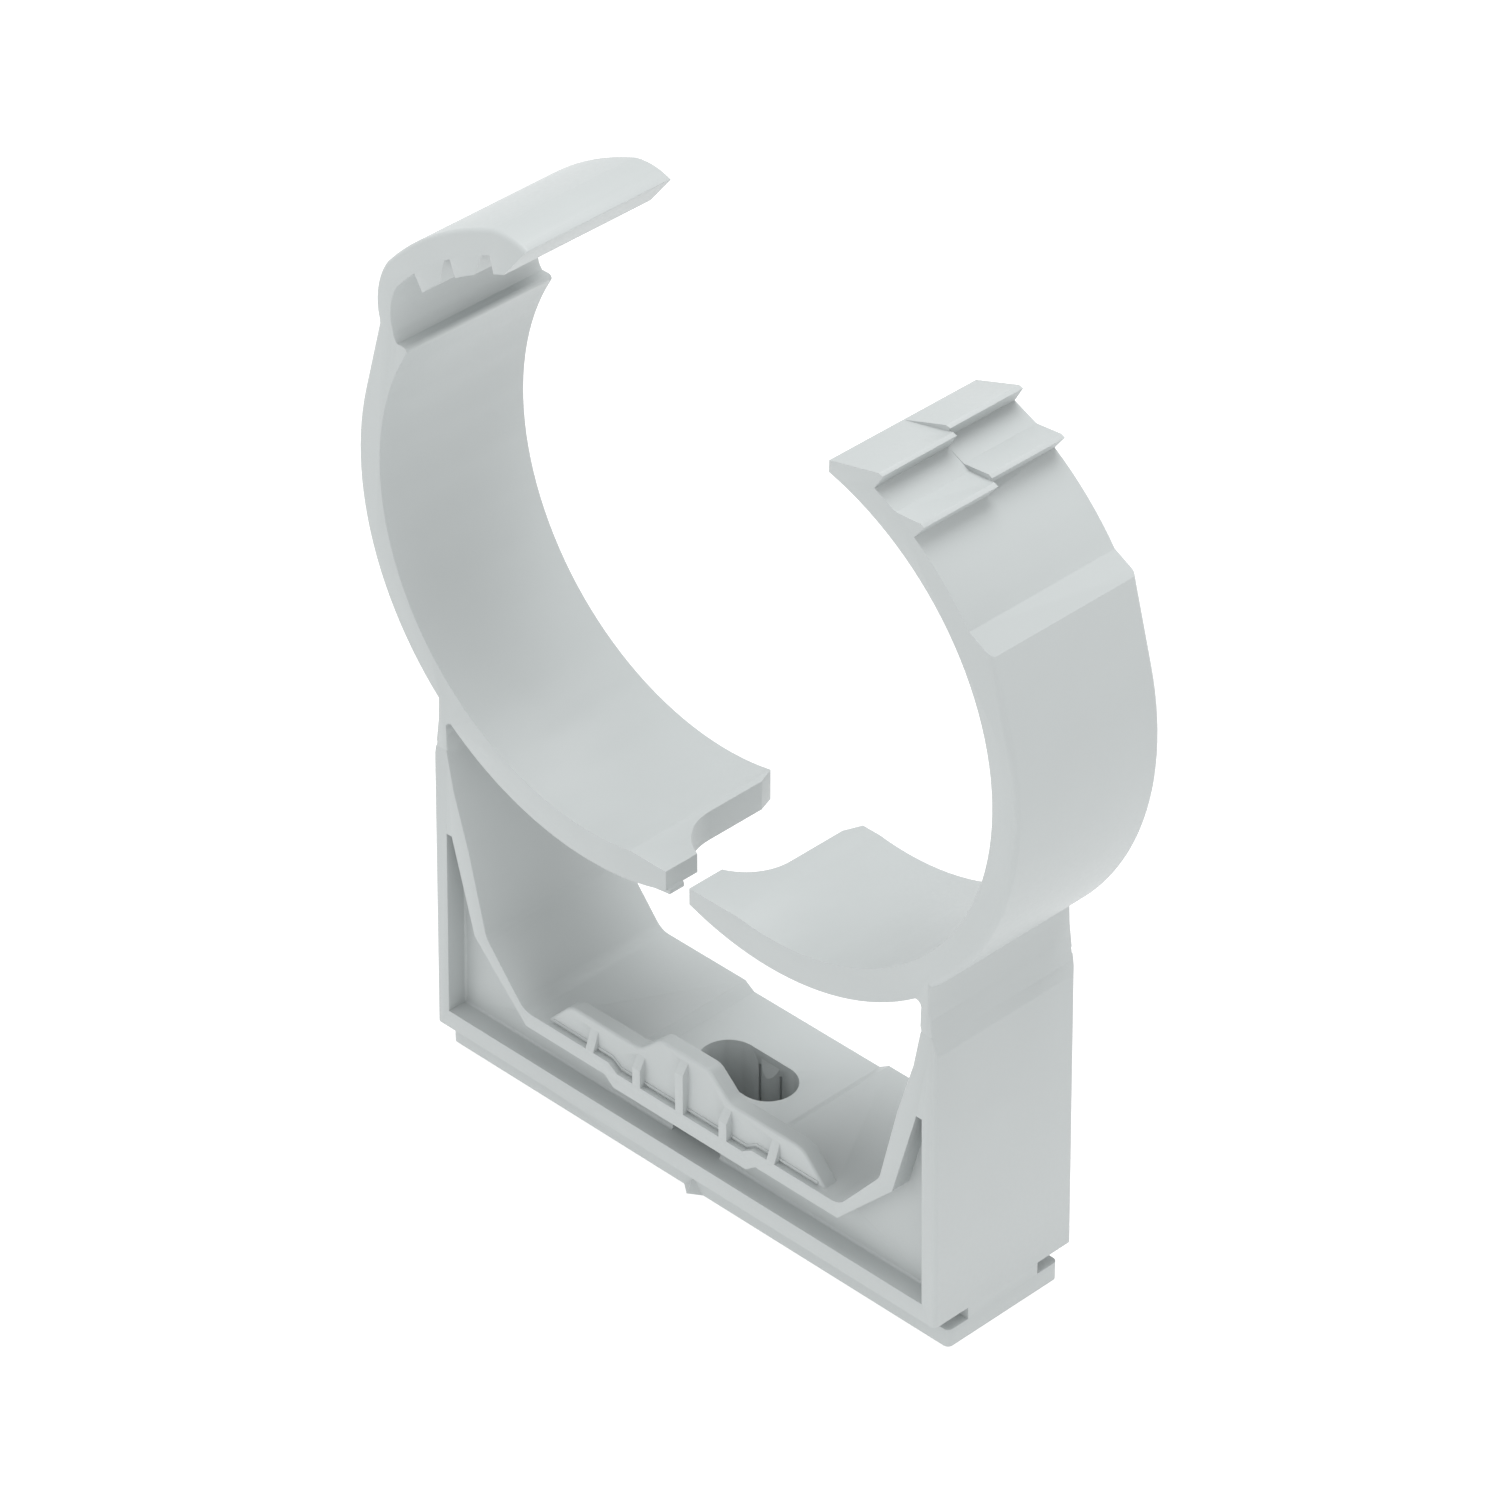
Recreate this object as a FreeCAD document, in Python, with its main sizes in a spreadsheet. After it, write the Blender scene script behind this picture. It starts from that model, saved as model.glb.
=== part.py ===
import FreeCAD, Part
import Sketcher
import math
import os

# Closing ratchet pipe clip, moulded in one shot, shown open.
# Frame: millimetres, X along the base, Y along the pipe, +Z up,
# origin at the middle of the underside of the foot.

doc = FreeCAD.newDocument("pipe_clip")
V3 = FreeCAD.Vector
NEW = Sketcher.Constraint

# ---------------------------------------------------------------- sheet
sheet = doc.addObject("Spreadsheet::Sheet", "Sheet")
DIMS = [
    # overall
    ("half_width", 8.4), ("foot_half_len", 30.46), ("foot_half_width", 6.65), ("foot_back", 6.83),
    ("body_under", 3.10), ("foot_top_cut", 1.82), ("notch_in", 4.25), ("notch_len", 3.2),
    # end walls
    ("wall_out_low", 30.50), ("wall_out_high", 30.08), ("wall_high_z", 31.3),
    ("neck_out", 29.66), ("neck_in", 28.33), ("wall_top", 33.15),
    # trough, as seen from the front
    ("slope_ax", 27.60), ("slope_az", 29.40), ("slope_bx", 25.85), ("slope_bz", 23.70),
    ("slope_cx", 23.85), ("slope_cz", 15.55), ("slope_dx", 19.20), ("floor_high", 10.10),
    ("floor_low", 9.40), ("step_out", 8.75), ("step_in", 7.65),
    # hollow under the trough
    ("cav_bot", 4.90), ("cav_wall_low", 28.95), ("cav_wall_high", 28.62), ("cav_top", 24.30),
    ("cav_top_in", 27.98), ("cav_cx", 25.35), ("cav_cz", 14.95), ("cav_dx", 19.00), ("cav_roof", 8.56),
    ("cav_step_out", 9.20), ("cav_step_in", 8.10), ("cav_roof_low", 7.70),
    ("web_depth", 2.07), ("web_inner", 5.00), ("foot_hollow", 26.50),
    ("window_half", 2.90), ("window_top", 7.70),
    # screw slot
    ("slot_half_len", 5.10), ("slot_rad", 2.72),
    ("collar_wall", 1.20), ("collar_low", 0.20), ("slot_rib_half", 1.12), ("slot_rib_out", 0.45), ("slot_rib_top", 8.65),
    ("slot_rib_slant", 1.30), ("slit_wide", 0.32), ("slit_deep", 0.25), ("slit_top", 7.95),
    # lip along the front of the floor
    ("lip_front", 7.74), ("lip_thick", 1.63), ("lip_z", 12.93), ("lip_mid_z", 15.22),
    ("lip_end_x", 17.91), ("lip_top_x", 14.10), ("lip_rise_x", 5.50), ("lip_mid_x", 3.00),
    ("groove_front", 7.95), ("groove_deep", 0.03), ("groove_end", 16.10),
    ("bead_front", 7.84), ("bead_under", 0.17), ("bead_top", 0.42),
    ("rib_half", 0.47), ("rib_mid_gap", 5.27), ("rib_out_gap", 11.05),
    # centre pointer on the foot
    ("mark_half", 1.60), ("mark_out", 0.82), ("mark_rise", 1.45),
    # the two jaws: circle of the pipe seat, open
    ("ring_x", 10.76), ("ring_z", 58.63), ("ring_in", 25.00), ("ring_out", 27.70),
    ("ring_low", 28.03), ("band_out", 27.45),
    ("pivot_x", 28.92), ("pivot_z", 33.84), ("pivot_rad", 0.62),
    ("shank_out", 29.24), ("shank_z", 36.05), ("neck_z", 35.45),
    ("notch_ang", 228.4),
    ("under_ang", 232.9), ("tang_ang", 164.7), ("kink_ang", 148.8), ("kink_rad", 28.80),
    ("seat_flat_z", 34.15), ("seat_flat_right_z", 33.87), ("tongue_tip", 1.40), ("tongue_end", 5.00), ("tongue_end_right", 4.65),
    ("finger_y", 4.94), ("finger_rad", 5.30), ("finger_run", 5.20), ("tongue_cham_y", 6.62), ("tongue_cham_x", 0.74),
    # hook
    ("hook_out", 31.65), ("hook_start_rad", 29.50), ("hook_start_ang", 147.4), ("hook_run_ang", 138.0),
    ("hook_corner", 7.60), ("hook_top_ang", 109.5), ("hook_tip_x", 17.20), ("hook_tip_z", 88.05),
    ("hook_nose", 6.60), ("hook_tooth", 27.70), ("hook_root", 29.36), ("pocket_rad", 29.42),
    ("tooth_a", 133.3), ("tooth_pitch", 10.75), ("row_room", 0.12),
    ("ledge_z", 72.35), ("ledge_x", 33.08),
    # ratchet
    ("ratchet_top", 29.14), ("ratchet_root", 27.46), ("ratchet_a", 64.75), ("ratchet_pitch", 10.30),
    ("ratchet_shift", 1.60), ("ratchet_ramp", 4.90), ("jaw_tip_ang", 74.60), ("jaw_tip_rad", 26.10),
    ("foot_ramp_ang", 36.30),
    # rounding
    ("round_ledge", 0.35), ("round_ring", 0.55), ("round_hook", 0.50), ("round_wall", 0.40), ("round_foot", 0.55),
    ("round_recess", 0.25), ("round_lip", 0.30), ("round_lip_end", 2.0), ("round_lip_low", 1.8), ("round_lip_mid", 1.5),
    # low lip under the tip of the left finger
    ("nib_drop", 0.50), ("nib_front", 8.15), ("nib_len", 1.70), ("nib_tip", 1.20), ("nib_start", 5.60),
]
VAL = {}
for i, (alias, value) in enumerate(DIMS):
    row = str(i + 1)
    sheet.set("A" + row, alias)
    sheet.set("B" + row, str(value))
    sheet.setAlias("B" + row, alias)
    VAL[alias] = value
doc.recompute()


class Q:
    """A number that also knows the sheet expression it comes from."""

    def __init__(self, v, e):
        self.v = v
        self.e = e

    def __add__(self, o):
        o = q(o)
        return Q(self.v + o.v, "(" + self.e + " + " + o.e + ")")

    def __sub__(self, o):
        o = q(o)
        return Q(self.v - o.v, "(" + self.e + " - " + o.e + ")")

    def __mul__(self, o):
        o = q(o)
        return Q(self.v * o.v, "(" + self.e + " * " + o.e + ")")

    def __truediv__(self, o):
        o = q(o)
        return Q(self.v / o.v, "(" + self.e + " / " + o.e + ")")

    def __neg__(self):
        return Q(-self.v, "(0 - " + self.e + ")")


def q(x):
    return x if isinstance(x, Q) else Q(float(x), "%.6g" % x)


def c(name):
    return Q(VAL[name], "Sheet." + name)


def cosd(a):
    a = q(a)
    return Q(math.cos(math.radians(a.v)), "cos(" + a.e + ")")


def sind(a):
    a = q(a)
    return Q(math.sin(math.radians(a.v)), "sin(" + a.e + ")")


def root(a):
    a = q(a)
    return Q(math.sqrt(a.v), "sqrt(" + a.e + ")")


# ---------------------------------------------------------------- helpers
def plane(body, role):
    for f in body.Origin.OriginFeatures:
        if f.Role == role:
            return f
    raise RuntimeError(role)


def make_body(name):
    b = doc.addObject("PartDesign::Body", name)
    b.Label = name
    doc.recompute()
    return b


def chain(body, name, role, pts, offset=None):
    """Closed outline. Each entry: (x, y) or (x, y, radius, side): the edge that
    leaves the vertex is straight, or an arc of that radius bulging to the
    right (side > 0) or left (side < 0) of the way to the next vertex."""
    sk = body.newObject("Sketcher::SketchObject", name)
    sk.AttachmentSupport = [(plane(body, role), "")]
    sk.MapMode = "FlatFace"
    if offset is not None:
        offset = q(offset)
        sk.AttachmentOffset = FreeCAD.Placement(V3(0, 0, offset.v), FreeCAD.Rotation())
        sk.setExpression("AttachmentOffset.Base.z", offset.e)
    n = len(pts)
    pts = [tuple(q(v) for v in p[:3]) + tuple(p[3:]) for p in pts]
    ids = []
    arcs = []
    for i in range(n):
        a, b = pts[i], pts[(i + 1) % n]
        pa, pb = V3(a[0].v, a[1].v, 0), V3(b[0].v, b[1].v, 0)
        if len(a) == 2:
            g = sk.addGeometry(Part.LineSegment(pa, pb), False)
            ids.append((g, 1, 2))
        else:
            r, side = a[2].v, a[3]
            mid = (pa + pb) * 0.5
            d = pb - pa
            half = d.Length / 2.0
            nrm = V3(d.y, -d.x, 0)
            nrm.normalize()
            dist = math.sqrt(max(r * r - half * half, 0.0))
            cen = mid - nrm * (dist * side)
            a0 = math.atan2(pa.y - cen.y, pa.x - cen.x)
            a1 = math.atan2(pb.y - cen.y, pb.x - cen.x)
            circ = Part.Circle(cen, V3(0, 0, 1), r)
            if side > 0:      # counter-clockwise from a to b
                g = sk.addGeometry(Part.ArcOfCircle(circ, a0, a1), False)
                ids.append((g, 1, 2))
            else:
                g = sk.addGeometry(Part.ArcOfCircle(circ, a1, a0), False)
                ids.append((g, 2, 1))
            arcs.append((g, a[2]))
    for i in range(n):
        g0, s0, e0 = ids[i]
        g1, s1, e1 = ids[(i + 1) % n]
        sk.addConstraint(NEW("Coincident", g0, e0, g1, s1))
    for i in range(n):
        g0, s0, e0 = ids[i]
        x, y = pts[i][0], pts[i][1]
        for kind, val in (("DistanceX", x), ("DistanceY", y)):
            k = sk.addConstraint(NEW(kind, -1, 1, g0, s0, val.v))
            sk.setExpression("Constraints[%d]" % k, val.e)
    for g, r in arcs:
        k = sk.addConstraint(NEW("Radius", g, r.v))
        sk.setExpression("Constraints[%d]" % k, r.e)
    doc.recompute()
    if "Invalid" in sk.State or sk.solve() != 0:
        raise RuntimeError("sketch %s does not solve" % name)
    return sk


def pad(body, name, sk, length, both=True, flip=False):
    f = body.newObject("PartDesign::Pad", name)
    f.Profile = sk
    length = q(length)
    f.Length = length.v
    f.setExpression("Length", length.e)
    if both:
        if hasattr(f, "SideType"):
            f.SideType = "Symmetric"
        else:
            f.Midplane = True
    f.Reversed = flip
    sk.Visibility = False
    doc.recompute()
    return f


def pocket(body, name, sk, length, both=False, flip=False):
    before = body.Shape.Volume
    f = body.newObject("PartDesign::Pocket", name)
    f.Profile = sk
    length = q(length)
    f.Length = length.v
    f.setExpression("Length", length.e)
    if both:
        if hasattr(f, "SideType"):
            f.SideType = "Symmetric"
        else:
            f.Midplane = True
    f.Reversed = flip
    sk.Visibility = False
    doc.recompute()
    if not both and not body.Shape.Volume < before - 1e-6:
        f.Reversed = not flip
        doc.recompute()
    if not body.Shape.Volume < before - 1e-6:
        raise RuntimeError(name + " takes nothing away")
    return f


def pick(shape, test):
    out = []
    for i, e in enumerate(shape.Edges):
        p = e.valueAt((e.FirstParameter + e.LastParameter) / 2.0)
        if test(e, p):
            out.append("Edge%d" % (i + 1))
    return out


def rounded(body, name, test, radius):
    base = body.Tip
    names = pick(base.Shape, test)
    if not names:
        raise RuntimeError(name + " finds no edge")
    f = body.newObject("PartDesign::Fillet", name)
    f.Base = (base, names)
    radius = q(radius)
    f.Radius = radius.v
    f.setExpression("Radius", radius.e)
    doc.recompute()
    return f


def along_y(e):
    a, b = e.Vertexes[0].Point, e.Vertexes[-1].Point
    return abs(a.x - b.x) < 1e-4 and abs(a.z - b.z) < 1e-4 and abs(a.y - b.y) > 0.5


def near(p, x, z, tol=0.12):
    return abs(p.x - x) < tol and abs(p.z - z) < tol


W = c("half_width")

# ================================================================ base
base = make_body("base")


def trough(sign):
    """Half outline of walls and trough, from the outer bottom to the floor middle."""
    k = sign
    return [
        (c("wall_out_low") * k, c("body_under")),
        (c("wall_out_high") * k, c("wall_high_z")),
        (c("neck_out") * k, c("wall_top")),
        (c("neck_in") * k, c("wall_top")),
        (c("slope_ax") * k, c("slope_az")),
        (c("slope_bx") * k, c("slope_bz")),
        (c("slope_cx") * k, c("slope_cz")),
        (c("slope_dx") * k, c("floor_high")),
        (c("step_out") * k, c("floor_high")),
        (c("step_in") * k, c("floor_low")),
    ]


outline = trough(-1) + list(reversed(trough(1)))
sk = chain(base, "wall_and_trough_outline", "XZ_Plane", outline)
pad(base, "wall_and_trough", sk, W * 2)

# foot plate
sk = chain(base, "foot_outline", "XY_Plane", [
    (-c("foot_half_len"), -c("foot_half_width")), (c("foot_half_len"), -c("foot_half_width")),
    (c("foot_half_len"), c("foot_back")), (-c("foot_half_len"), c("foot_back"))])
pad(base, "foot", sk, c("body_under") + 0.2, both=False)


def roof(sign, low):
    """Half outline of the hollow, from its lower outer corner to the middle."""
    k = sign
    return [
        (c("cav_wall_low") * k, q(low)),
        (c("cav_wall_high") * k, c("cav_top")),
        (c("cav_top_in") * k, c("cav_top")),
        (c("cav_cx") * k, c("cav_cz")),
        (c("cav_dx") * k, c("cav_roof")),
        (c("cav_step_out") * k, c("cav_roof")),
        (c("cav_step_in") * k, c("cav_roof_low")),
    ]


hollow = roof(-1, c("cav_bot")) + list(reversed(roof(1, c("cav_bot"))))
for tag, off, flip in (("front", W, False), ("back", -W, True)):
    sk = chain(base, tag + "_recess_outline", "XZ_Plane", hollow, off)
    pocket(base, tag + "_recess", sk, c("web_depth"), flip=flip)

# the hollow is narrower through the foot, so that the notches stay closed
fi = c("foot_hollow")
inner = ([(-fi, q(-1.0)), (-fi, c("cav_bot"))] + roof(-1, c("cav_bot")) + list(reversed(roof(1, c("cav_bot"))))
         + [(fi, c("cav_bot")), (fi, q(-1.0))])
sk = chain(base, "hollow_outline", "XZ_Plane", inner)
pocket(base, "hollow", sk, c("web_inner") * 2, both=True)

# small window in both webs below the slot
sk = chain(base, "window_outline", "XZ_Plane", [
    (-c("window_half"), c("cav_bot")), (c("window_half"), c("cav_bot")),
    (c("window_half"), c("window_top")), (-c("window_half"), c("window_top"))])
pocket(base, "web_window", sk, W * 2, both=True)


# collar round the screw slot, and the slot through floor and collar
def slot_line(radius):
    h = c("slot_half_len") - c("slot_rad")
    r = radius
    return [(-h, -r), (h, -r, r, 1), (h + r, q(0), r, 1), (h, r), (-h, r, r, 1), (-h - r, q(0), r, 1)]


sk = chain(base, "collar_outline", "XY_Plane", slot_line(c("slot_rad") + c("collar_wall")), c("collar_low"))
pad(base, "collar", sk, c("floor_low") - 0.3 - c("collar_low"), both=False)
sk = chain(base, "slot_outline", "XY_Plane", slot_line(c("slot_rad")), c("floor_high") + 1.0)
pocket(base, "screw_slot", sk, c("floor_high") + 2.0)

# a half-round rib down the middle of both long sides of the slot
sh, so_, top = c("slot_rib_half"), c("slot_rib_out"), c("slot_rib_top")
rib_r = (sh * sh + so_ * so_) / (so_ * 2)
for tag, sy in (("back", 1), ("front", -1)):
    y0, y1 = c("slot_rad") * sy, (c("slot_rad") + 0.4) * sy
    if sy > 0:
        pts = [(-sh, y0, rib_r, 1), (sh, y0), (sh, y1), (-sh, y1)]
    else:
        pts = [(sh, y0, rib_r, 1), (-sh, y0), (-sh, y1), (sh, y1)]
    sk = chain(base, "slot_rib_%s_outline" % tag, "XY_Plane", pts, c("collar_low"))
    pad(base, "slot_rib_" + tag, sk, top - c("collar_low"), both=False)
    # the rib's top runs back into the wall at a steep slant
    y2 = (c("slot_rad") - so_ * 1.2) * sy
    sk = chain(base, "slot_rib_%s_slant" % tag, "YZ_Plane", [
        (y0, top), (y2, top), (y2, top - c("slot_rib_slant") * 1.2)])
    pocket(base, "slot_rib_%s_top" % tag, sk, sh * 2 + 0.2, both=True)
    # a narrow slit along each side of the rib
    for side, k in (("left", -1), ("right", 1)):
        xa, xb = sh * k, (sh + c("slit_wide")) * k
        ya, yb = (c("slot_rad") - 0.3) * sy, (c("slot_rad") + c("slit_deep")) * sy
        pts = [(xa, ya), (xb, ya), (xb, yb), (xa, yb)]
        if k * sy < 0:
            pts.reverse()
        sk = chain(base, "slit_%s_%s_outline" % (tag, side), "XY_Plane", pts, c("slit_top"))
        pocket(base, "slit_%s_%s" % (tag, side), sk, c("slit_top") + 0.5)

# lip along the front edge of the floor
lx = c("lip_rise_x")
sk = chain(base, "lip_outline", "XZ_Plane", [
    (-c("lip_end_x"), c("floor_low") - 0.4), (c("lip_end_x"), c("floor_low") - 0.4),
    (c("lip_top_x"), c("lip_z")), (lx, c("lip_z")), (c("lip_mid_x"), c("lip_mid_z")),
    (-c("lip_mid_x"), c("lip_mid_z")), (-lx, c("lip_z")), (-c("lip_top_x"), c("lip_z"))], c("lip_front"))
pad(base, "lip", sk, c("lip_thick"), both=False, flip=True)


def both_sides(x, z):
    return lambda e, p: along_y(e) and (near(p, VAL[x], VAL[z]) or near(p, -VAL[x], VAL[z]))


rounded(base, "lip_end_round", both_sides("lip_top_x", "lip_z"), c("round_lip_end"))
rounded(base, "lip_low_round", both_sides("lip_rise_x", "lip_z"), c("round_lip_low"))
rounded(base, "lip_mid_round", both_sides("lip_mid_x", "lip_mid_z"), c("round_lip_mid"))
lip_faces = (-VAL["lip_front"], -VAL["lip_front"] + VAL["lip_thick"])
rounded(base, "lip_edge_round", lambda e, p: min(abs(p.y - f) for f in lip_faces) < 1e-3 and p.z > VAL["floor_high"] + 0.1
        and abs(e.Vertexes[0].Point.y - e.Vertexes[-1].Point.y) < 1e-3 and abs(p.x) < 18.0, c("round_lip"))

# narrow groove at the lip's foot, with a fine bead over it
so, si = c("step_out"), c("step_in")
ge, gd = c("groove_end"), c("groove_deep")
fh, fl = c("floor_high"), c("floor_low")
sk = chain(base, "groove_outline", "XZ_Plane", [
    (-ge, fh - gd), (-so, fh - gd), (-si, fl - gd), (si, fl - gd), (so, fh - gd), (ge, fh - gd),
    (ge, fh + 1.0), (-ge, fh + 1.0)], c("groove_front"))
pocket(base, "groove", sk, c("groove_front") - c("lip_front"), flip=False)
bu, bt = c("bead_under"), c("bead_top")
sk = chain(base, "bead_outline", "XZ_Plane", [
    (-ge, fh + bu), (-so, fh + bu), (-si, fl + bu), (si, fl + bu), (so, fh + bu), (ge, fh + bu),
    (ge, fh + bt), (so, fh + bt), (si, fl + bt), (-si, fl + bt), (-so, fh + bt), (-ge, fh + bt)], c("bead_front"))
pad(base, "bead", sk, c("bead_front") - c("lip_front") + 0.2, both=False, flip=True)

# ribs that tie the lip to the front edge
ribs = [("mid", 0, 13.5, 14.55), ("left_near", -1, 11.2, 12.3), ("right_near", 1, 11.2, 12.3),
        ("left_far", -2, 10.15, 12.0), ("right_far", 2, 10.15, 12.0)]
for tag, where, z_front, z_back in ribs:
    if where == 0:
        xc = q(0.0)
    elif abs(where) == 1:
        xc = c("rib_mid_gap") * where
    else:
        xc = c("rib_out_gap") * (where / 2)
    sk = chain(base, "rib_" + tag + "_outline", "YZ_Plane", [
        (-W, c("floor_low") - 0.5), (-c("lip_front") + 0.3, c("floor_low") - 0.5),
        (-c("lip_front") + 0.3, q(z_back)), (-c("lip_front"), q(z_back)), (-W, q(z_front))], xc)
    pad(base, "rib_" + tag, sk, c("rib_half") * 2)

# centre pointer on the front of the foot
mh, mo, mr = c("mark_half"), c("mark_out"), c("mark_rise")
fw = c("foot_half_width")
lower = chain(base, "pointer_lower", "XY_Plane", [
    (-mh, -fw + 0.3), (-0.1, -fw - mo), (mh, -fw + 0.3)])
upper = chain(base, "pointer_upper", "XY_Plane", [
    (q(-0.05), -fw + 0.3), (q(0.0), -fw - 0.02), (q(0.05), -fw + 0.3)], mr)
loft = base.newObject("PartDesign::AdditiveLoft", "centre_pointer")
loft.Profile = lower
loft.Sections = [upper]
loft.Ruled = True
doc.recompute()

# notches under the end walls
for tag, sx in (("right", 1), ("left", -1)):
    for side, sy in (("front", -1), ("back", 1)):
        x0 = (c("foot_half_len") - c("notch_len")) * sx
        x1 = (c("wall_out_low") + 0.5) * sx
        y0 = c("notch_in") * sy
        y1 = (c("foot_half_width") + 0.5) * sy
        pts = [(x0, y0), (x1, y0), (x1, y1), (x0, y1)]
        if sx * sy < 0:
            pts.reverse()
        sk = chain(base, "notch_%s_%s_outline" % (tag, side), "XY_Plane", pts, c("body_under"))
        pocket(base, "notch_%s_%s" % (tag, side), sk, c("body_under") - c("foot_top_cut"))

# rounding of the walls, the trough and the under edge
rounded(base, "wall_edge_round", lambda e, p: abs(abs(p.y) - VAL["half_width"]) < 1e-3 and abs(p.x) > 29.5
        and p.z > 3.2 and e.Length > 5 and abs(e.Vertexes[0].Point.z - e.Vertexes[-1].Point.z) > 1.0, c("round_wall"))
rounded(base, "foot_corner_round", lambda e, p: p.z < 1.2 and abs(p.x) > 30.0 and abs(p.y) > 6.0
        and abs(e.Vertexes[0].Point.z - e.Vertexes[-1].Point.z) > 1.0, c("round_foot"))
rounded(base, "trough_bend_round", lambda e, p: along_y(e) and p.z > 9 and
        (near(p, VAL["slope_cx"], VAL["slope_cz"]) or near(p, -VAL["slope_cx"], VAL["slope_cz"])), 2.0)
rounded(base, "trough_foot_round", lambda e, p: along_y(e) and
        (near(p, VAL["slope_dx"], VAL["floor_high"]) or near(p, -VAL["slope_dx"], VAL["floor_high"])), 2.0)

web_face = VAL["half_width"] - VAL["web_depth"]
rounded(base, "recess_corner_round", lambda e, p: abs(abs(p.y) - web_face) < 1e-3 and abs(p.x) > 6.0
        and (p.z < VAL["cav_bot"] + 0.01 or abs(p.x) > VAL["cav_wall_high"] - 0.4), c("round_recess"))

# ================================================================ jaws
X0, Z0 = c("ring_x"), c("ring_z")


def left(r, a):
    return (-X0 + q(r) * cosd(a), Z0 + q(r) * sind(a))


def flipped(pts):
    """The same outline turned over in X, point by point."""
    out = []
    for p in pts:
        if len(p) == 2:
            out.append((-q(p[0]), q(p[1])))
        else:
            out.append((-q(p[0]), q(p[1]), p[2], -p[3]))
    return out


RI, RO, RL = c("ring_in"), c("ring_out"), c("ring_low")
px, pz, pr = c("pivot_x"), c("pivot_z"), c("pivot_rad")
tipx = c("tongue_tip")


def common_low(flat):
    """Left jaw from the seat's lower end round tongue, underside and neck to the outer notch."""
    flat_x = root(RI * RI - (Z0 - flat) * (Z0 - flat)) - X0
    tip_low = Z0 - root(RL * RL - (X0 - tipx) * (X0 - tipx))
    return [
        (flat_x, flat),                       # seat leaves the circle, flat finger
        (-tipx, flat),
        (-tipx, tip_low, RL, -1),             # underside, travelling back to the neck
        left(RL, c("under_ang")) + (q(0.62), 1),
        (-c("neck_in"), c("neck_z")),
        (-px + pr, pz, pr, -1),
        (-px, pz - pr, pr, -1),
        (-px - pr, pz),
        (-c("shank_out"), c("shank_z")),
    ]


def hook_outline():
    a1, tp = c("tooth_a"), c("tooth_pitch")
    T, R2 = c("hook_tooth"), c("hook_root")
    pts = []
    # start at the ledge, along the seat to the tongue
    pts.append(((-X0 - root(RI * RI - (c("ledge_z") - Z0) * (c("ledge_z") - Z0))), c("ledge_z"), RI, 1))
    low = common_low(c("seat_flat_z"))
    pts += low
    pts.append(left(RO, c("notch_ang")) + (RO, -1))
    pts.append(left(RO, c("tang_ang")))
    pts.append(left(c("kink_rad"), c("kink_ang")))
    pts.append(left(c("hook_start_rad"), c("hook_start_ang")) + (c("hook_corner"), -1))
    pts.append(left(c("hook_out"), c("hook_run_ang")) + (c("hook_out"), -1))
    pts.append(left(c("hook_out"), c("hook_top_ang")) + (c("hook_nose"), -1))
    pts.append((-c("hook_tip_x"), c("hook_tip_z")))
    # lead-in face and three teeth, back towards the pocket
    pts.append(left(T, a1 - tp * 2 - 2.7) + (T, 1))
    pts.append(left(T, a1 - tp * 2))
    pts.append(left(R2, a1 - tp * 2 - 0.4))
    pts.append(left(R2, a1 - tp * 2 + 1.7))
    pts.append(left(T, a1 - tp - 5.4) + (T, 1))
    pts.append(left(T, a1 - tp))
    pts.append(left(R2, a1 - tp - 0.6))
    pts.append(left(R2, a1 - tp + 0.9))
    pts.append(left(T, a1 - 5.7) + (T, 1))
    pts.append(left(T, a1))
    pts.append(left(c("pocket_rad"), a1 - 0.7) + (c("pocket_rad"), 1))
    pts.append(left(c("pocket_rad"), 138.5) + (q(5.4), 1))
    pts.append(left(27.2, 147.0) + (q(1.6), 1))
    pts.append((-c("ledge_x"), c("ledge_z")))
    return pts


hook = make_body("hook_jaw")
sk = chain(hook, "hook_jaw_outline", "XZ_Plane", hook_outline())
pad(hook, "hook_jaw_band", sk, W * 2)


def right(r, a):
    return (X0 + q(r) * cosd(a), Z0 + q(r) * sind(a))


def ratchet_outline(shift):
    """Right jaw; shift moves the outer teeth towards the tip."""
    A, P = c("ratchet_a") + shift, c("ratchet_pitch")
    T, R2 = c("ratchet_top"), c("ratchet_root")
    return [
        right(RO, q(180) - c("notch_ang")) + (RO, 1),
        right(RO, q(180) - c("tang_ang")),
        right(c("kink_rad"), q(180) - c("kink_ang")),
        right(c("band_out"), c("foot_ramp_ang")) + (c("band_out"), 1),
        right(c("band_out"), A - P - 0.1),
        right(T + 0.08, A - P - 0.3),
        right(T, A - P + 0.6),
        right(R2 + 0.1, A - c("ratchet_ramp") - 0.4),
        right(R2, A + 0.2),
        right(T + 0.08, A - 0.2),
        right(T, A + 0.7),
        right(c("jaw_tip_rad"), c("jaw_tip_ang") + 0.6),
        right(RI, c("jaw_tip_ang")) + (RI, -1),
    ] + flipped(common_low(c("seat_flat_right_z")))


ratchet = make_body("ratchet_jaw")
for tag, shift, back in (("front", q(0), False), ("back", c("ratchet_shift"), True)):
    sk = chain(ratchet, "ratchet_%s_outline" % tag, "XZ_Plane", ratchet_outline(shift))
    pad(ratchet, "ratchet_%s_half" % tag, sk, W, both=False, flip=back)



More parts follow.
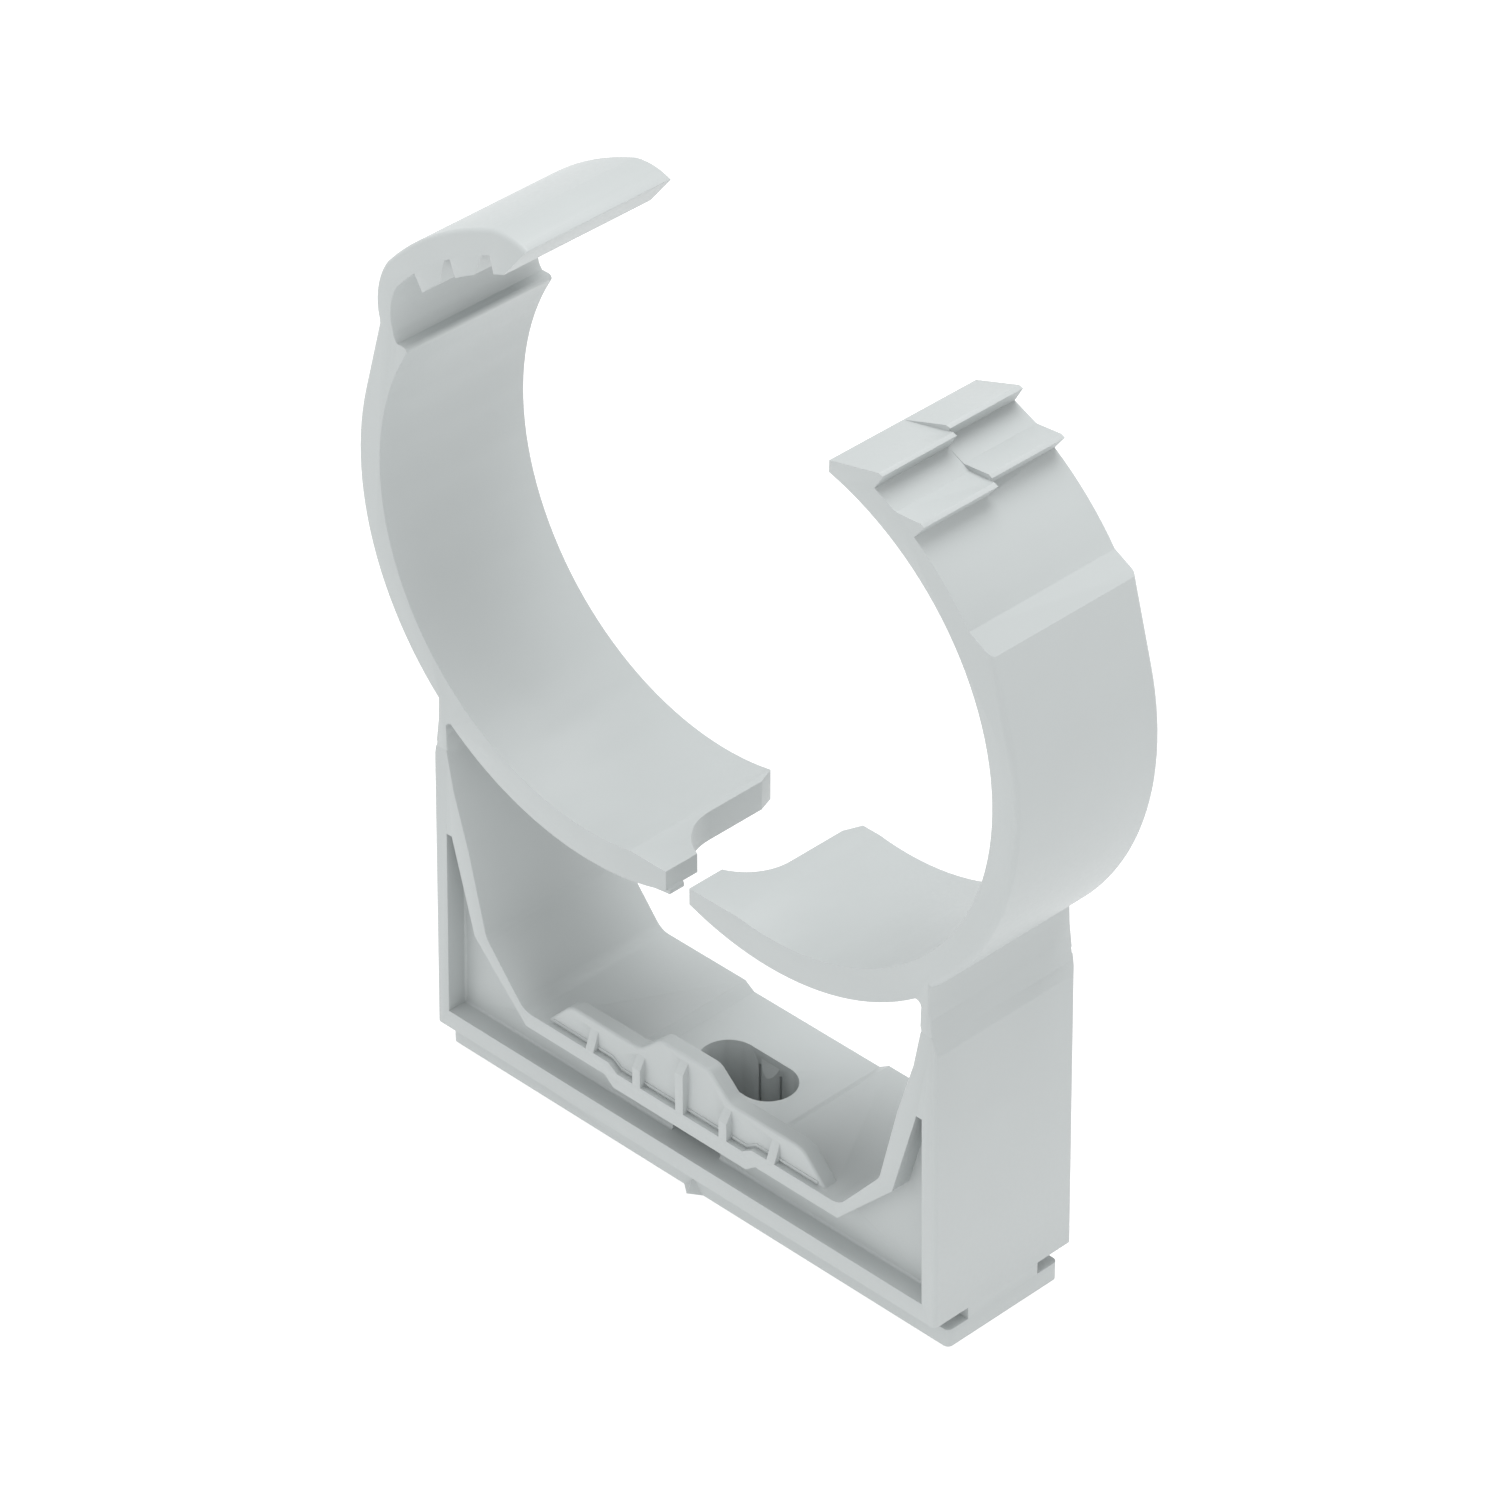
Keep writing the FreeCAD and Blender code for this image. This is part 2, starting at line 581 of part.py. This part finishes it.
# plan shape of both tongues: a finger at the front, the rest set back
def trim_tongue(body, k, tag):
    fy, fr = c("finger_y"), c("finger_rad")
    ex = c("tongue_end") if k < 0 else c("tongue_end_right")
    top = [
        (tipx - 1.0, -fy),
        (ex - c("finger_run"), -fy, fr, 1),
        (ex, -fy + c("finger_run")),
        (ex, c("tongue_cham_y")),
        (ex + c("tongue_cham_x"), W + 0.1),
        (q(-8.0), W + 0.1),
        (q(-8.0), -fy),
    ]
    if k < 0:
        pts = []
        for p in top:
            if len(p) == 2:
                pts.append((-q(p[0]), q(p[1])))
            else:
                pts.append((-q(p[0]), q(p[1]), p[2], -p[3]))
    else:
        pts = top
    sk = chain(body, tag + "_tongue_plan", "XY_Plane", pts, 25.0)
    pocket(body, tag + "_tongue_cut", sk, 14.0, flip=True)


trim_tongue(hook, -1, "hook")
trim_tongue(ratchet, 1, "ratchet")

# the gaps between the hook's teeth are wider on the back half, so that the
# ratchet's shifted back teeth have room as well
a1, tp = c("tooth_a"), c("tooth_pitch")
for n, tag in ((1, "first"), (2, "second")):
    sk = chain(hook, "hook_gap_%s_outline" % tag, "XZ_Plane", [
        left(27.0, a1 - tp * n + 1.2), left(c("hook_root"), a1 - tp * n + 0.4),
        left(c("hook_root"), a1 - tp * n + 3.3), left(27.0, a1 - tp * n + 8.6)], c("row_room"))
    before = hook.Shape.Volume
    pocket(hook, "hook_gap_" + tag, sk, W + c("row_room") * 2, flip=False)

# low lip under the tip of the left finger
nx = c("nib_tip")
low_tip = Z0 - root(RL * RL - (X0 - tipx) * (X0 - tipx))
low_start = Z0 - root(RL * RL - (X0 - c("nib_start")) * (X0 - c("nib_start")))
sk = chain(hook, "nib_outline", "XZ_Plane", [
    (-c("nib_start"), low_start + 0.05), (-tipx - 0.2, low_tip - c("nib_drop") + 0.02),
    (-nx, low_tip - c("nib_drop") + 0.06), (-nx, low_tip - 0.05), (-tipx - 0.2, low_tip + 0.4),
    (-c("nib_start"), low_start + 0.4)], c("nib_front"))
pad(hook, "nib", sk, c("nib_len"), both=False, flip=True)

# rounding of the outer edges of both jaws
H = VAL["half_width"]


def polar(k, x, z):
    """Radius and the left jaw's angle of a point about the seat centre on side k."""
    dx, dz = -(x - k * VAL["ring_x"]) * k, z - VAL["ring_z"]
    return math.hypot(dx, dz), math.degrees(math.atan2(dz, dx)) % 360.0


def outside(a):
    """A radius just inside the jaw's outer line at this angle."""
    if a > 150.0:
        return 27.6
    if a > 147.6:
        return 28.4
    if a > 138.5:
        return 29.45
    return 30.9 if a > 108.0 else 30.0


def outer_edges(k, a0, a1):
    """Edges on the two side faces that run round the outside of the jaw."""
    def test(e, p):
        if abs(abs(p.y) - H) > 1e-3:
            return False
        for v in e.Vertexes:
            if abs(abs(v.Point.y) - H) > 1e-3:
                return False
        r, a = polar(k, p.x, p.z)
        return a0 < a < a1 and r > outside(a)
    return test


def bend(r, a):
    """Edges along the pipe at one point of the left jaw's outline."""
    def test(e, p):
        if not along_y(e):
            return False
        pr, pa = polar(-1, p.x, p.z)
        return abs(pr - r) < 0.1 and abs(pa - a) < 0.3
    return test


ledge_in = math.sqrt(VAL["ring_in"] ** 2 - (VAL["ledge_z"] - VAL["ring_z"]) ** 2)
rounded(hook, "ledge_edge_round", lambda e, p: along_y(e)
        and near(p, -VAL["ring_x"] - ledge_in, VAL["ledge_z"], 0.05), c("round_ledge"))
rounded(ratchet, "ratchet_jaw_edge_round", outer_edges(1, 149.5, 227.0), c("round_ring"))
rounded(hook, "shoulder_bend", bend(VAL["kink_rad"], VAL["kink_ang"]), 1.5)
rounded(hook, "shoulder_top_bend", bend(VAL["hook_start_rad"], VAL["hook_start_ang"]), 1.5)
rounded(hook, "hook_bend", bend(VAL["hook_out"], VAL["hook_run_ang"]), 3.0)
rounded(hook, "nose_bend", bend(VAL["hook_out"], VAL["hook_top_ang"]), 1.0)
rounded(hook, "hook_jaw_edge_round", outer_edges(-1, 100.0, 227.0), c("round_hook"))

# ---------------------------------------------------------------- export
doc.recompute()
parts = [base, hook, ratchet]
for o in doc.Objects:
    if "Invalid" in o.State or "Error" in o.State:
        raise RuntimeError(o.Name + " " + str(o.State))
os.makedirs("parts", exist_ok=True)
for o in parts:
    s = o.Shape
    if s.isNull() or not s.isValid() or len(s.Solids) != 1:
        raise RuntimeError(o.Label + " has no single valid solid: %d" % len(s.Solids))
    s.exportStep("parts/" + o.Label + ".step")
    bb = s.BoundBox
    print(o.Label, "volume %.1f" % s.Volume, "x %.2f %.2f y %.2f %.2f z %.2f %.2f" % (
        bb.XMin, bb.XMax, bb.YMin, bb.YMax, bb.ZMin, bb.ZMax))
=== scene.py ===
import math

import bmesh
import bpy
from mathutils import Matrix, Vector
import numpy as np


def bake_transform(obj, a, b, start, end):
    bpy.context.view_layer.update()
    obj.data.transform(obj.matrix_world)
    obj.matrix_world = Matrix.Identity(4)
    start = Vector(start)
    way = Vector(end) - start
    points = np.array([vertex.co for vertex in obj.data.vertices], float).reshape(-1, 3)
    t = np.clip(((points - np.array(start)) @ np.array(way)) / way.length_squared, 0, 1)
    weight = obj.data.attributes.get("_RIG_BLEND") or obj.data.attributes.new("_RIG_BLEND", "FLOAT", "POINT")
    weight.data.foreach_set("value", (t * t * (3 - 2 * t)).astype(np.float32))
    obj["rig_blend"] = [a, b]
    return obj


# Open ratchet pipe clip, pale grey moulded plastic. Metres, row frame:
# X along the base, Y along the pipe, +Z up, origin under the middle of the foot.

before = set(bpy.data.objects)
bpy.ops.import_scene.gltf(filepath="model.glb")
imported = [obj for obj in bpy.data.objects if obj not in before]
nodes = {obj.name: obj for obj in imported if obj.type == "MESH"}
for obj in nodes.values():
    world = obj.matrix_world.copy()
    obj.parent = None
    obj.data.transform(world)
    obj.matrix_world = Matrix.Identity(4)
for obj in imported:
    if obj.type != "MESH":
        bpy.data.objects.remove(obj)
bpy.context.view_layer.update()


MM = 0.001


# ------------------------------------------------------------------ material
def plastic():
    mat = bpy.data.materials.new("moulding")
    mat.use_nodes = True
    nt = mat.node_tree
    nt.nodes.clear()
    out = nt.nodes.new("ShaderNodeOutputMaterial")
    bsdf = nt.nodes.new("ShaderNodeBsdfPrincipled")
    bsdf.inputs["Roughness"].default_value = 0.44
    bsdf.inputs["IOR"].default_value = 1.46
    bsdf.inputs["Specular IOR Level"].default_value = 0.42
    geo = nt.nodes.new("ShaderNodeTexCoord")

    # a faint unevenness of tone, as in a moulded polymer
    cloud = nt.nodes.new("ShaderNodeTexNoise")
    cloud.inputs["Scale"].default_value = 45.0
    cloud.inputs["Detail"].default_value = 3.0
    cloud.inputs["Roughness"].default_value = 0.55
    nt.links.new(geo.outputs["Object"], cloud.inputs["Vector"])
    ramp = nt.nodes.new("ShaderNodeValToRGB")
    ramp.color_ramp.elements[0].position = 0.35
    ramp.color_ramp.elements[1].position = 0.65
    ramp.color_ramp.elements[0].color = (0.454, 0.481, 0.481, 1.0)
    ramp.color_ramp.elements[1].color = (0.470, 0.498, 0.498, 1.0)
    nt.links.new(cloud.outputs["Fac"], ramp.inputs["Fac"])
    nt.links.new(ramp.outputs["Color"], bsdf.inputs["Base Color"])

    # fine grain of the tool's surface
    grain = nt.nodes.new("ShaderNodeTexNoise")
    grain.inputs["Scale"].default_value = 2600.0
    grain.inputs["Detail"].default_value = 2.0
    nt.links.new(geo.outputs["Object"], grain.inputs["Vector"])
    rough = nt.nodes.new("ShaderNodeMapRange")
    rough.inputs["From Min"].default_value = 0.3
    rough.inputs["From Max"].default_value = 0.7
    rough.inputs["To Min"].default_value = 0.40
    rough.inputs["To Max"].default_value = 0.48
    nt.links.new(grain.outputs["Fac"], rough.inputs["Value"])
    nt.links.new(rough.outputs["Result"], bsdf.inputs["Roughness"])
    bump = nt.nodes.new("ShaderNodeBump")
    bump.inputs["Strength"].default_value = 0.04
    bump.inputs["Distance"].default_value = 0.00002
    nt.links.new(grain.outputs["Fac"], bump.inputs["Height"])
    nt.links.new(bump.outputs["Normal"], bsdf.inputs["Normal"])
    nt.links.new(bsdf.outputs["BSDF"], out.inputs["Surface"])
    return mat


MOULDING = plastic()


def soften(ob, width):
    """Moulded edges are never knife sharp: a narrow round on every edge where
    two faces of the part meet at an angle."""
    me = ob.data
    bm = bmesh.new()
    bm.from_mesh(me)
    meets = {}
    for e in bm.edges:
        if len(e.link_faces) == 1:
            key = frozenset(tuple(v.co) for v in e.verts)
            meets.setdefault(key, []).append((e.index, e.link_faces[0].normal.copy()))
    weight = [0.0] * len(bm.edges)
    for key, found in meets.items():
        if len(found) != 2:
            continue
        (i, na), (j, nb) = found
        if na.angle(nb, 0.0) < math.radians(11.0):
            continue
        ys = [c[1] for c in key]
        zs = [c[2] for c in key]
        # the bead and the groove at the lip's foot are finer than the rest
        fine = max(ys) < -7.6 * MM and min(zs) > 9.0 * MM and max(zs) < 10.7 * MM and ob.name.startswith("base")
        weight[i] = weight[j] = 0.5 if fine else 1.0
    bm.free()
    at = me.attributes.get("bevel_weight_edge") or me.attributes.new("bevel_weight_edge", "FLOAT", "EDGE")
    at.data.foreach_set("value", weight)
    weld = ob.modifiers.new("weld", "WELD")
    weld.merge_threshold = 0.000002
    flat = ob.modifiers.new("flat", "DECIMATE")
    flat.decimate_type = "DISSOLVE"
    flat.angle_limit = math.radians(0.6)
    edge = ob.modifiers.new("edge", "BEVEL")
    edge.width = width
    edge.segments = 2
    edge.limit_method = "WEIGHT"
    edge.use_clamp_overlap = True
    edge.harden_normals = True
    edge.miter_outer = "MITER_ARC"
    for p in me.polygons:
        p.use_smooth = True


ROUND = {"base": 0.00010, "hook_jaw": 0.00014, "ratchet_jaw": 0.00014}
for name, o in nodes.items():
    o.data.materials.clear()
    o.data.materials.append(MOULDING)
    print("node", name, len(o.data.vertices), len(o.data.polygons), o.data.polygons[0].use_smooth,
          [m.name for m in o.modifiers], o.data.attributes.keys())
    soften(o, ROUND[name])


# ------------------------------------------------------------------ hinge strips
def strip(name, k, jaw):
    """The thin web that joins an end wall to its jaw: a slab with rounded
    corners, following wall and neck, drawn over the seam between the two."""
    # height, outer face, inner face, growth
    rows = [
        (32.10, 29.90, 28.125, -0.030), (32.60, 29.785, 28.222, 0.000), (33.15, 29.67, 28.325, 0.014),
        (33.50, 29.60, 28.315, 0.018), (33.84, 29.545, 28.300, 0.018), (34.40, 29.465, 28.305, 0.012),
        (34.80, 29.41, 28.315, 0.000), (35.20, 29.355, 28.325, -0.030)]
    half, r, n = 8.395, 0.16, 4
    bm = bmesh.new()
    rings = []
    for z, xo, xi, g in rows:
        xo, xi = xo + g, xi - g
        hy = half + min(g, 0.0)
        ring = []
        for cx, cy, a0 in ((xo - r, hy - r, 0.0), (xi + r, hy - r, 90.0),
                           (xi + r, -hy + r, 180.0), (xo - r, -hy + r, 270.0)):
            for i in range(n + 1):
                a = math.radians(a0 + 90.0 * i / n)
                ring.append(bm.verts.new((k * (cx + r * math.cos(a)) * MM, (cy + r * math.sin(a)) * MM, z * MM)))
        rings.append(ring)
    m = len(rings[0])
    for lo, hi in zip(rings, rings[1:]):
        for i in range(m):
            bm.faces.new((lo[i], lo[(i + 1) % m], hi[(i + 1) % m], hi[i]))
    bm.faces.new(rings[0])
    bm.faces.new(rings[-1])
    bmesh.ops.recalc_face_normals(bm, faces=bm.faces)
    me = bpy.data.meshes.new(name)
    bm.to_mesh(me)
    bm.free()
    for p in me.polygons:
        p.use_smooth = True
    me.materials.append(MOULDING)
    ob = bpy.data.objects.new(name, me)
    bpy.context.scene.collection.objects.link(ob)
    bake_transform(ob, "base", jaw, (k * 28.92 * MM, 0, 33.05 * MM), (k * 28.92 * MM, 0, 34.40 * MM))
    return ob


strip("hook_hinge_strip", -1, "hook_jaw")
strip("ratchet_hinge_strip", 1, "ratchet_jaw")

# ------------------------------------------------------------------ stage
floor_mat = bpy.data.materials.new("floor")
floor_mat.use_nodes = True
fb = floor_mat.node_tree.nodes["Principled BSDF"]
fb.inputs["Base Color"].default_value = (0.30, 0.30, 0.30, 1.0)
fb.inputs["Roughness"].default_value = 0.9
fb.inputs["Emission Color"].default_value = (1.0, 1.0, 1.0, 1.0)
fb.inputs["Emission Strength"].default_value = 0.86

bpy.ops.mesh.primitive_plane_add(size=6.0, location=(0, 0, -0.0002))
floor = bpy.context.object
floor.name = "floor"
floor.data.materials.append(floor_mat)

# the floor right under the foot is covered, so it sends no light up into the hollow
shade_mat = bpy.data.materials.new("floor_under_foot")
shade_mat.use_nodes = True
shade_mat.node_tree.nodes["Principled BSDF"].inputs["Base Color"].default_value = (0.6, 0.6, 0.6, 1.0)
bpy.ops.mesh.primitive_plane_add(size=1.0, location=(0, 0.00008, -0.0001))
shade = bpy.context.object
shade.name = "floor_under_foot"
shade.scale = (0.0600, 0.0128, 1.0)
shade.data.materials.append(shade_mat)


def area_light(name, loc, target, size_m, power, color=(1, 1, 1)):
    data = bpy.data.lights.new(name, "AREA")
    data.shape = "DISK"
    data.size = size_m
    data.energy = power
    data.color = color
    ob = bpy.data.objects.new(name, data)
    bpy.context.scene.collection.objects.link(ob)
    ob.location = Vector(loc)
    d = Vector(target) - Vector(loc)
    ob.rotation_euler = d.to_track_quat("-Z", "Y").to_euler()
    return ob


TARGET = (0, 0, 0.045)
area_light("key", (-0.05, 0.20, 1.04), TARGET, 0.8, 6.7)
area_light("front", (-0.30, -1.0, 0.30), TARGET, 0.9, 1.7)
area_light("side", (1.0, -0.25, 0.35), TARGET, 0.9, 0.75)

world = bpy.data.worlds.new("studio")
bpy.context.scene.world = world
world.use_nodes = True
bg = world.node_tree.nodes["Background"]
bg.inputs["Color"].default_value = (1.0, 1.0, 1.0, 1.0)
bg.inputs["Strength"].default_value = 0.81

# ------------------------------------------------------------------ camera
cam_data = bpy.data.cameras.new("camera")
cam_data.sensor_fit = "HORIZONTAL"
cam_data.sensor_width = 36.0
cam_data.lens = 36.0 * 7669.0 / 1500.0
cam_data.clip_start = 0.05
cam_data.clip_end = 20.0
cam = bpy.data.objects.new("camera", cam_data)
bpy.context.scene.collection.objects.link(cam)
cam.location = Vector((372.470, -372.266, 411.910)) * MM
az, el = math.radians(45.0), math.radians(35.0)
back = Vector((math.sin(az) * math.cos(el), -math.cos(az) * math.cos(el), math.sin(el)))
cam.rotation_euler = back.to_track_quat("Z", "Y").to_euler()
bpy.context.scene.camera = cam
bpy.context.scene.view_settings.view_transform = "Standard"
